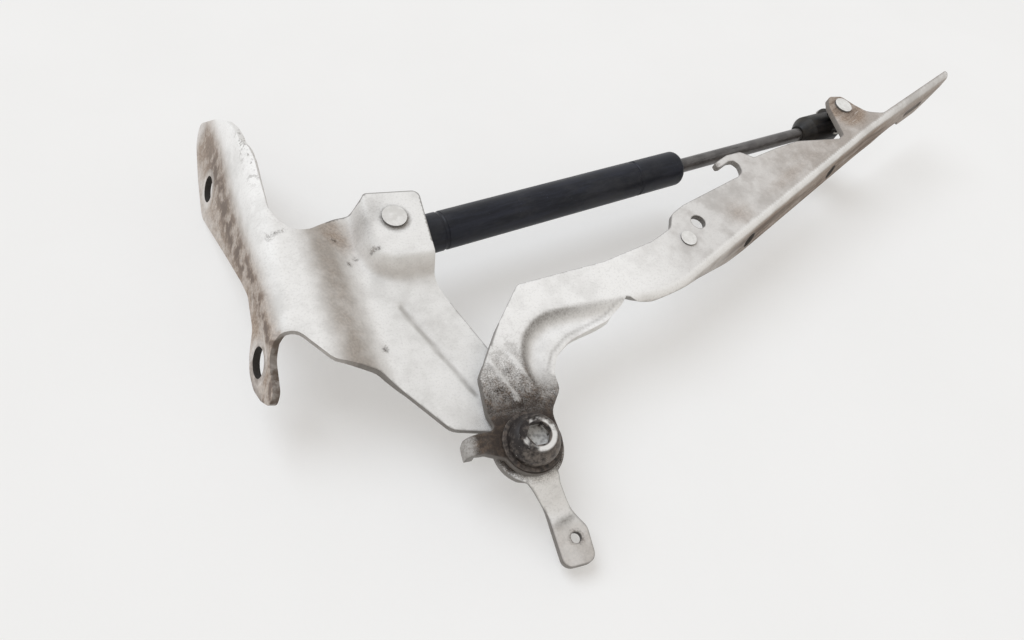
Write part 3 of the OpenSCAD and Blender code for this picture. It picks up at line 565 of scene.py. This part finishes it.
class Graph:
    """A material's node tree, with short names for the nodes that the finishes use."""

    def __init__(self, name):
        self.mat = bpy.data.materials.new(name)
        self.mat.use_nodes = True
        self.tree = self.mat.node_tree
        self.tree.nodes.clear()
        self.out = self.tree.nodes.new("ShaderNodeOutputMaterial")
        self.bsdf = self.tree.nodes.new("ShaderNodeBsdfPrincipled")
        self.tree.links.new(self.bsdf.outputs[0], self.out.inputs[0])
        self.coords = self.tree.nodes.new("ShaderNodeTexCoord").outputs["Object"]

    def put(self, socket, value):
        if hasattr(value, "is_linked"):
            self.tree.links.new(value, socket)
        elif isinstance(value, tuple) and len(value) == 3 and socket.type == "RGBA":
            socket.default_value = (*value, 1)
        else:
            socket.default_value = value

    def math(self, op, a, b=0.5, clamp=False):
        n = self.tree.nodes.new("ShaderNodeMath")
        n.operation = op
        n.use_clamp = clamp
        self.put(n.inputs[0], a)
        self.put(n.inputs[1], b)
        return n.outputs[0]

    def blend(self, a, b, share):
        """Two values added, b by its share and a by what is left."""
        return self.math("ADD", self.math("MULTIPLY", a, 1 - share), self.math("MULTIPLY", b, share))

    def attr(self, name):
        n = self.tree.nodes.new("ShaderNodeAttribute")
        n.attribute_name = name
        return n.outputs["Fac"]

    def normal(self):
        """The surface's own normal in the piece's frame."""
        new = self.tree.nodes.new
        turn = new("ShaderNodeVectorTransform")
        turn.vector_type = "NORMAL"
        turn.convert_from = "WORLD"
        turn.convert_to = "OBJECT"
        self.put(turn.inputs[0], new("ShaderNodeNewGeometry").outputs["True Normal"])
        return turn.outputs[0]

    def rim(self):
        """1 on the cut edges of a sheet, 0 on its faces."""
        new = self.tree.nodes.new
        face = new("ShaderNodeAttribute")
        face.attribute_name = "face"
        dot = new("ShaderNodeVectorMath")
        dot.operation = "DOT_PRODUCT"
        self.put(dot.inputs[0], self.normal())
        self.put(dot.inputs[1], face.outputs["Vector"])
        return self.span(self.math("ABSOLUTE", dot.outputs["Value"]), 0.8, 0.5)

    def place(self, stretch, turn):
        n = self.tree.nodes.new("ShaderNodeMapping")
        n.vector_type = "TEXTURE"
        self.put(n.inputs["Vector"], self.coords)
        n.inputs["Scale"].default_value = tuple(1 / k for k in stretch)
        n.inputs["Rotation"].default_value = turn
        return n.outputs[0]

    def noise(self, scale, detail=4.0, rough=0.55, stretch=None, turn=(0, 0, 0)):
        n = self.tree.nodes.new("ShaderNodeTexNoise")
        self.put(n.inputs["Vector"], self.place(stretch, turn) if stretch else self.coords)
        n.inputs["Scale"].default_value = scale
        n.inputs["Detail"].default_value = detail
        n.inputs["Roughness"].default_value = rough
        return n.outputs["Fac"]

    def span(self, value, a, b, low=0.0, high=1.0):
        n = self.tree.nodes.new("ShaderNodeMapRange")
        n.interpolation_type = "SMOOTHSTEP"
        self.put(n.inputs["Value"], value)
        for key, x in (("From Min", a), ("From Max", b), ("To Min", low), ("To Max", high)):
            self.put(n.inputs[key], x)
        return n.outputs[0]

    def mix(self, share, a, b):
        n = self.tree.nodes.new("ShaderNodeMix")
        n.data_type = "RGBA"
        self.put(n.inputs[0], share)
        self.put(n.inputs[6], a)
        self.put(n.inputs[7], b)
        return n.outputs[2]

    def axis(self, k, vector=None):
        n = self.tree.nodes.new("ShaderNodeSeparateXYZ")
        self.put(n.inputs[0], self.coords if vector is None else vector)
        return n.outputs[k]

    def bump(self, height, strength, distance):
        n = self.tree.nodes.new("ShaderNodeBump")
        n.inputs["Strength"].default_value = strength
        n.inputs["Distance"].default_value = distance
        self.put(n.inputs["Height"], height)
        self.put(self.bsdf.inputs["Normal"], n.outputs[0])

    def finish(self, colour, rough, metal, shine):
        self.put(self.bsdf.inputs["Base Color"], colour)
        self.put(self.bsdf.inputs["Roughness"], rough)
        self.put(self.bsdf.inputs["Metallic"], metal)
        self.bsdf.inputs["Specular IOR Level"].default_value = shine
        return self.mat


WHITE = (0.885, 0.881, 0.872)
# The strut's heading, along which its pieces are scuffed
STRUT_TURN = (0, 0, math.radians(11.75))


def grainy(g, mask, grain, depth):
    """A mask roughened by a grain, most where it is half strong."""
    half = g.math("MULTIPLY", mask, g.math("SUBTRACT", 1.0, mask))
    swing = g.math("MULTIPLY", g.math("MULTIPLY", g.math("SUBTRACT", grain, 0.5), depth), half)
    return g.math("ADD", mask, swing, True)


def old_paint(name, grey_and_shade, along, lines):
    """Worn white paint on pressed steel, with grey tone, dirt, grease, chips, painted shade and painted highlights
    where the sheet's masks put them.

    Marks run at the turn along, and lines is the share of streaks among the blots.
    """
    g = Graph(name)
    wide = g.noise(42, 4, 0.6)
    cloud = g.noise(120, 5, 0.62)
    fine = g.noise(1100, 4, 0.65)
    blots = g.noise(170, 5, 0.6)
    streak = g.noise(190, 5, 0.65, stretch=(0.06, 1, 1), turn=along)
    soft = g.blend(wide, cloud, 0.45)
    # Grey tone and painted shade where the grey mask puts them, and a painted highlight where it spares the arm's
    # bend
    grey = g.math("MULTIPLY", g.attr("grey"), g.span(soft, 0.36, 0.64, 0.55, 1.25), True)
    colour = g.mix(grey, WHITE, grey_and_shade)
    colour = g.mix(g.span(soft, 0.46, 0.64, 0.0, 0.32), colour, (0.56, 0.55, 0.535))
    colour = g.mix(g.span(fine, 0.48, 0.70, 0.0, 0.26), colour, (0.45, 0.44, 0.43))
    # Brown dirt in soft blots and streaks, with light scratches among them; on the bracket the same mask also lays
    # painted shade on the pad's wall and the joggle
    mark = g.blend(blots, streak, lines)
    dirt_and_shade = g.math("MULTIPLY", g.attr("dirt_and_shade"), g.span(mark, 0.34, 0.62, 0.8, 1.1), True)
    brown = g.mix(g.span(g.noise(900, 4, 0.65), 0.36, 0.66), (0.215, 0.152, 0.108), (0.41, 0.325, 0.258))
    deep = g.math("MULTIPLY", g.attr("soot"), g.span(mark, 0.41, 0.57, 0.15, 1.1), True)
    brown = g.mix(deep, brown, (0.108, 0.070, 0.047))
    colour = g.mix(g.math("MULTIPLY", dirt_and_shade, 0.92), colour, brown)
    hair = g.noise(520, 3, 0.5, stretch=(0.07, 1, 1), turn=along)
    scratch = g.math("MULTIPLY", g.span(hair, 0.66, 0.72), dirt_and_shade)
    colour = g.mix(g.math("MULTIPLY", scratch, 0.6), colour, (0.62, 0.58, 0.54))
    # Soft shade, then speckled wear and grease
    shade = g.math("MULTIPLY", g.attr("shade"), g.span(fine, 0.3, 0.7, 0.75, 1.15), True)
    colour = g.mix(shade, colour, (0.15, 0.135, 0.12))
    grain = g.blend(g.noise(1700, 3, 0.6), g.noise(230, 4), 0.4)
    dark = grainy(g, g.attr("dark"), grain, 15.0)
    soot = g.mix(g.span(g.noise(420, 4, 0.7), 0.4, 0.7), (0.030, 0.020, 0.014), (0.135, 0.094, 0.066))
    black = g.math("MULTIPLY", g.attr("soot"), g.span(g.noise(260, 5, 0.7), 0.36, 0.6, 0.55, 1.0), True)
    soot = g.mix(black, soot, (0.021, 0.0130, 0.0090))
    colour = g.mix(g.math("MULTIPLY", dark, 0.98), colour, soot)
    # Chips and scattered specks
    chip = g.math("MULTIPLY", g.span(g.noise(300, 4, 0.65), 0.53, 0.62), g.attr("chips"), True)
    sparse = g.span(g.noise(60, 2), 0.42, 0.62, 0.05, 0.6)
    dots = g.math("MULTIPLY", g.span(g.noise(1500, 2, 0.5), 0.735, 0.76), sparse)
    bare = g.math("MAXIMUM", chip, dots)
    colour = g.mix(g.math("MULTIPLY", bare, 0.7), colour, (0.24, 0.225, 0.205))
    # Cut edges, darkened partly as painted shade, and the bolt holes' walls painted dark as shade and dirt
    rim = g.rim()
    edge = g.mix(g.span(cloud, 0.35, 0.65), (0.22, 0.20, 0.185), (0.40, 0.38, 0.36))
    edge = g.mix(deep, edge, (0.10, 0.075, 0.058))
    edge = g.mix(g.attr("hole"), edge, (0.028, 0.024, 0.021))
    share = g.math("MAXIMUM", g.attr("cut"), g.attr("hole"))
    colour = g.mix(g.math("MULTIPLY", rim, share), colour, edge)
    # A thin painted shadow line along the sheet's outline
    colour = g.mix(g.span(g.attr("line"), 0.25, 0.75, 0.0, 0.8), colour, (0.13, 0.12, 0.11))
    dull = g.math("MULTIPLY", g.math("MAXIMUM", dirt_and_shade, bare), 0.2)
    rough = g.math("ADD", g.span(wide, 0.3, 0.7, 0.42, 0.54), dull, True)
    sunk = g.math("ADD", bare, g.math("MULTIPLY", dark, 0.25))
    g.bump(g.math("SUBTRACT", g.math("MULTIPLY", fine, 0.3), sunk), 0.3, 0.00015)
    return g.finish(colour, rough, 0.0, 0.25)


def greasy_steel(name):
    """Pivot bolt: dark greasy steel with painted light and shade across it, worn bright on its rim, with old paint
    left in the socket.
    """
    g = Graph(name)
    x, y, z = g.axis(0), g.axis(1), g.axis(2)
    r = g.math("SQRT", g.math("ADD", g.math("MULTIPLY", x, x), g.math("MULTIPLY", y, y)))
    # Painted light: the bolt is lighter towards +x and -y and darker on the far side
    painted_light_way = g.math("SUBTRACT", g.math("MULTIPLY", x, 0.8), g.math("MULTIPLY", y, 0.6))
    side = g.math("MULTIPLY", painted_light_way, 90.0)
    mott = g.noise(420, 5, 0.65)
    lit = g.math("ADD", mott, g.math("MULTIPLY", side, 0.16))
    colour = g.mix(g.span(lit, 0.36, 0.78), (0.020, 0.016, 0.015), (0.19, 0.165, 0.145))
    # The head's rim and, below, the floor of its socket, by their radii and heights in metres
    rim = g.math("MULTIPLY", g.span(r, 0.0050, 0.0056), g.span(r, 0.0077, 0.0068))
    top = g.math("MULTIPLY", rim, g.span(z, 0.0126, 0.0136))
    # The rim's bright wear lies mostly on that painted lit side: wear with a painted highlight
    patch = g.math("ADD", g.noise(230, 4), g.math("MULTIPLY", side, 0.3))
    worn = g.math("MULTIPLY", top, g.span(patch, 0.42, 0.66))
    colour = g.mix(worn, colour, (0.72, 0.71, 0.69))
    chips = g.span(g.noise(520, 5, 0.7), 0.66, 0.70)
    colour = g.mix(g.math("MULTIPLY", chips, 0.7), colour, (0.66, 0.65, 0.63))
    base = g.math("MULTIPLY", g.span(r, 0.0052, 0.0046), g.span(z, 0.0122, 0.0116))
    left = g.span(g.noise(500, 4), 0.34, 0.6, 0.45, 0.95)
    colour = g.mix(g.math("MULTIPLY", base, left), colour, (0.66, 0.655, 0.64))
    g.bump(g.math("ADD", mott, chips), 0.5, 0.0003)
    return g.finish(colour, g.span(mott, 0.3, 0.7, 0.36, 0.56), 0.1, 0.28)


def rusty_steel(name, dark, light):
    """Dull steel with patches of rust."""
    g = Graph(name)
    a = g.noise(520, 5, 0.7)
    colour = g.mix(g.span(a, 0.35, 0.68), dark, light)
    colour = g.mix(g.span(g.noise(240, 4), 0.55, 0.7, 0, 0.4), colour, (0.10, 0.06, 0.038))
    g.bump(a, 0.4, 0.0002)
    return g.finish(colour, g.span(a, 0.3, 0.7, 0.42, 0.66), 0.4, 0.5)


def brushed(name, dark, light, rough, metal, stretch=None, side=None):
    """Worn metal with fine marks. A stretch draws them out along the strut, and side paints the upright faces in
    its colour, as painted shade.
    """
    g = Graph(name)
    a = g.noise(420, 5, 0.6, stretch, STRUT_TURN)
    b = g.noise(120, 3)
    colour = g.mix(g.span(g.blend(a, b, 0.5), 0.36, 0.64), dark, light)
    if side:
        # Painted shade on the upright faces
        colour = g.mix(g.span(g.axis(2, g.normal()), 0.8, 0.4, 0.0, 0.9), colour, side)
    g.bump(a, 0.2, 0.0001)
    return g.finish(colour, g.span(a, 0.3, 0.7, rough - 0.06, rough + 0.1), metal, 0.5)


def satin_black(name, dark, light, rough):
    """Black paint or plastic with dust and scuffs along the strut."""
    g = Graph(name)
    scuff = g.noise(300, 5, 0.65, stretch=(0.12, 1, 1), turn=STRUT_TURN)
    a = g.noise(700, 4, 0.6)
    colour = g.mix(g.span(scuff, 0.38, 0.68), dark, light)
    dust = g.span(g.noise(70, 5, 0.7, stretch=(0.5, 1, 1), turn=STRUT_TURN), 0.44, 0.66, 0, 0.5)
    colour = g.mix(dust, colour, (2.0 * light[0], 1.8 * light[1], 1.3 * light[2]))
    colour = g.mix(g.span(g.noise(1300, 3), 0.66, 0.74, 0, 0.4), colour, tuple(3.2 * c for c in light))
    g.bump(g.math("ADD", a, g.math("MULTIPLY", scuff, 0.5)), 0.18, 0.0001)
    return g.finish(colour, g.span(scuff, 0.3, 0.7, rough - 0.06, rough + 0.1), 0.0, 0.24)


bracket_paint = old_paint("bracket_paint", (0.385, 0.372, 0.352), (0, 0, math.radians(90)), 0.22)
arm_paint = old_paint("arm_paint", (0.41, 0.385, 0.365), (0, 0, math.radians(RAIL_DEG)), 0.85)
bolt_steel = greasy_steel("pivot_steel")
washer_steel = rusty_steel("washer_steel", (0.026, 0.021, 0.018), (0.14, 0.115, 0.098))
nut_steel = rusty_steel("nut_steel", (0.16, 0.14, 0.12), (0.36, 0.33, 0.30))
# Studs: upright faces painted dark as shade round their heads
stud_steel = brushed("stud_steel", (0.64, 0.63, 0.61), (0.82, 0.815, 0.80), 0.42, 0.0, side=(0.07, 0.064, 0.06))
rod_steel = brushed("rod_steel", (0.075, 0.070, 0.068), (0.15, 0.142, 0.138), 0.32, 0.5, stretch=(0.1, 1, 1))
alloy = brushed("guide_alloy", (0.40, 0.39, 0.36), (0.55, 0.54, 0.50), 0.4, 0.6)
bronze = brushed("bush_bronze", (0.34, 0.25, 0.12), (0.50, 0.38, 0.19), 0.4, 0.6)
tube_black = satin_black("tube_paint", (0.0062, 0.007, 0.0115), (0.017, 0.019, 0.029), 0.40)
plastic = satin_black("socket_plastic", (0.007, 0.0065, 0.007), (0.024, 0.022, 0.022), 0.44)
rubber = satin_black("seal_rubber", (0.012, 0.012, 0.012), (0.03, 0.03, 0.03), 0.6)

FINISH = {
    "pivot_bolt": bolt_steel, "pivot_nut": nut_steel, "pivot_bush": bronze, "lower_washer": washer_steel,
    "upper_washer": washer_steel, "lower_ball_stud": stud_steel, "upper_ball_stud": stud_steel,
    "arm_stud": stud_steel, "strut_tube": tube_black, "tube_plug": alloy, "lower_socket": plastic,
    "piston_rod": rod_steel, "piston": alloy, "piston_ring": rubber, "rod_guide": alloy, "rod_seal": rubber,
    "guide_clip": alloy, "upper_socket": plastic, "socket_clip": alloy,
}
# Edges that are softened, and by how much, in millimetres
ROUND = {
    "pivot_bolt": 0.55, "upper_washer": 0.3, "lower_washer": 0.3, "lower_ball_stud": 0.3,
    "upper_ball_stud": 0.3, "arm_stud": 0.3, "upper_socket": 0.7, "lower_socket": 0.7, "pivot_nut": 0.4,
}
ROUND_TURN, WELD = math.radians(28), 0.02


def dress(obj, material):
    obj.data.materials.clear()
    obj.data.materials.append(material)


dress(bracket, bracket_paint)
dress(arm, arm_paint)
for node, material in FINISH.items():
    part = bpy.data.objects[node]
    dress(part, material)
    if node in ROUND:
        weld = part.modifiers.new("weld", "WELD")
        weld.merge_threshold = WELD * MM
        soft = part.modifiers.new("soft", "BEVEL")
        soft.limit_method = "ANGLE"
        soft.angle_limit = ROUND_TURN
        soft.width = ROUND[node] * MM
        soft.segments = 3

# Floor, light and camera

# The part rests on its upper flange lobe and its tab, so the floor leans a little to the part's own frame
UPRIGHT = Vector((-0.0311, 0.1447, 0.989)).normalized()
FLOOR_GAP, FLOOR_HALF = 0.0034, 4
BACKDROP, BACKDROP_SHARE = (0.865, 0.862, 0.858, 1), 0.36
SKY_COLOUR, SKY_LEVEL = (1.0, 0.95, 0.885, 1), 0.68
SUN_COLOUR, SUN_LEVEL, SUN_SOFT = (0.83, 0.905, 1.0), 1.5, math.radians(42)
SUN_WAY = Vector((0.4, -0.55, -0.73))

# The floor lies just under the part's lowest point along its own upright
bpy.context.view_layer.update()
shown = [o for o in bpy.context.scene.objects if o.type == "MESH" and not o.hide_render]
depth = 0.0
for o in shown:
    co = np.empty(3 * len(o.data.vertices))
    o.data.vertices.foreach_get("co", co)
    depth = min(depth, float((co.reshape(-1, 3) @ np.array(UPRIGHT)).min()))
side = UPRIGHT.orthogonal().normalized()
other = UPRIGHT.cross(side)
middle = UPRIGHT * (depth - FLOOR_GAP)
corners = [middle + FLOOR_HALF * (a * side + b * other) for a, b in ((-1, -1), (1, -1), (1, 1), (-1, 1))]
floor_mesh = bpy.data.meshes.new("floor")
floor_mesh.from_pydata(corners, [], [(0, 1, 2, 3)])
floor = bpy.data.objects.new("floor", floor_mesh)
bpy.context.scene.collection.objects.link(floor)
g = Graph("floor_cloth")
pale = g.mix(g.span(g.noise(9, 4), 0.3, 0.7), (0.865, 0.862, 0.855), (0.885, 0.882, 0.877))
g.bump(g.noise(500, 3), 0.12, 0.0003)
dress(floor, g.finish(pale, g.span(g.noise(40, 3), 0.3, 0.7, 0.86, 0.95), 0.0, 0.1))


def seen_share(tree):
    """1 for the rays that show a backdrop: the camera's, and those that gloss and glass pass on."""
    path = tree.nodes.new("ShaderNodeLightPath")
    share = path.outputs["Is Camera Ray"]
    for key in ("Is Glossy Ray", "Is Transmission Ray"):
        n = tree.nodes.new("ShaderNodeMath")
        n.operation = "MAXIMUM"
        tree.links.new(share, n.inputs[0])
        tree.links.new(path.outputs[key], n.inputs[1])
        share = n.outputs[0]
    return share


def mix_shaders(tree, share, first, second):
    """A mix of two shader nodes, with this share of the second."""
    n = tree.nodes.new("ShaderNodeMixShader")
    tree.links.new(share, n.inputs[0])
    tree.links.new(first.outputs[0], n.inputs[1])
    tree.links.new(second.outputs[0], n.inputs[2])
    return n


# The floor's shadow is lightened where it is seen, as on the photograph's white table
table = g.tree.nodes.new("ShaderNodeEmission")
table.inputs["Color"].default_value = BACKDROP
lit = mix_shaders(g.tree, g.math("MULTIPLY", seen_share(g.tree), BACKDROP_SHARE), g.bsdf, table)
# From under the lean, which a level view can be, the floor is clear, so it never hides the part
clear = g.tree.nodes.new("ShaderNodeBsdfTransparent")
back_face = g.tree.nodes.new("ShaderNodeNewGeometry").outputs["Backfacing"]
camera_ray = g.tree.nodes.new("ShaderNodeLightPath").outputs["Is Camera Ray"]
under = mix_shaders(g.tree, g.math("MULTIPLY", back_face, camera_ray), lit, clear)
g.tree.links.new(under.outputs[0], g.out.inputs[0])

world = bpy.data.worlds.new("studio")
bpy.context.scene.world = world
world.use_nodes = True
tree = world.node_tree
# The sky lights the part in its own colour, and is seen in the floor's
sky = tree.nodes["Background"]
sky.inputs["Color"].default_value = SKY_COLOUR
sky.inputs["Strength"].default_value = SKY_LEVEL
wall = tree.nodes.new("ShaderNodeBackground")
wall.inputs["Color"].default_value = BACKDROP
both = mix_shaders(tree, seen_share(tree), sky, wall)
tree.links.new(both.outputs[0], tree.nodes["World Output"].inputs[0])

sun = bpy.data.lights.new("key", "SUN")
sun.energy = SUN_LEVEL
sun.angle = SUN_SOFT
sun.color = SUN_COLOUR
key = bpy.data.objects.new("key", sun)
bpy.context.scene.collection.objects.link(key)
key.location = (-0.6, 0.2, 0.8)
key.rotation_euler = SUN_WAY.to_track_quat("-Z", "Y").to_euler()

# The camera that was fitted to the photograph
camera = bpy.data.cameras.new("camera")
camera.lens = 25.3125
camera.sensor_width = 36
camera.sensor_fit = "HORIZONTAL"
camera.clip_start = 0.01
camera.clip_end = 100
eye = bpy.data.objects.new("camera", camera)
bpy.context.scene.collection.objects.link(eye)
eye.matrix_world = Matrix((
    (0.92530, 0.12157, -0.35925, -0.1039),
    (-0.27635, 0.86485, -0.41914, -0.0755),
    (0.25974, 0.48711, 0.83383, 0.2639),
    (0, 0, 0, 1),
))
bpy.context.scene.camera = eye
bpy.context.scene.view_settings.view_transform = "Standard"
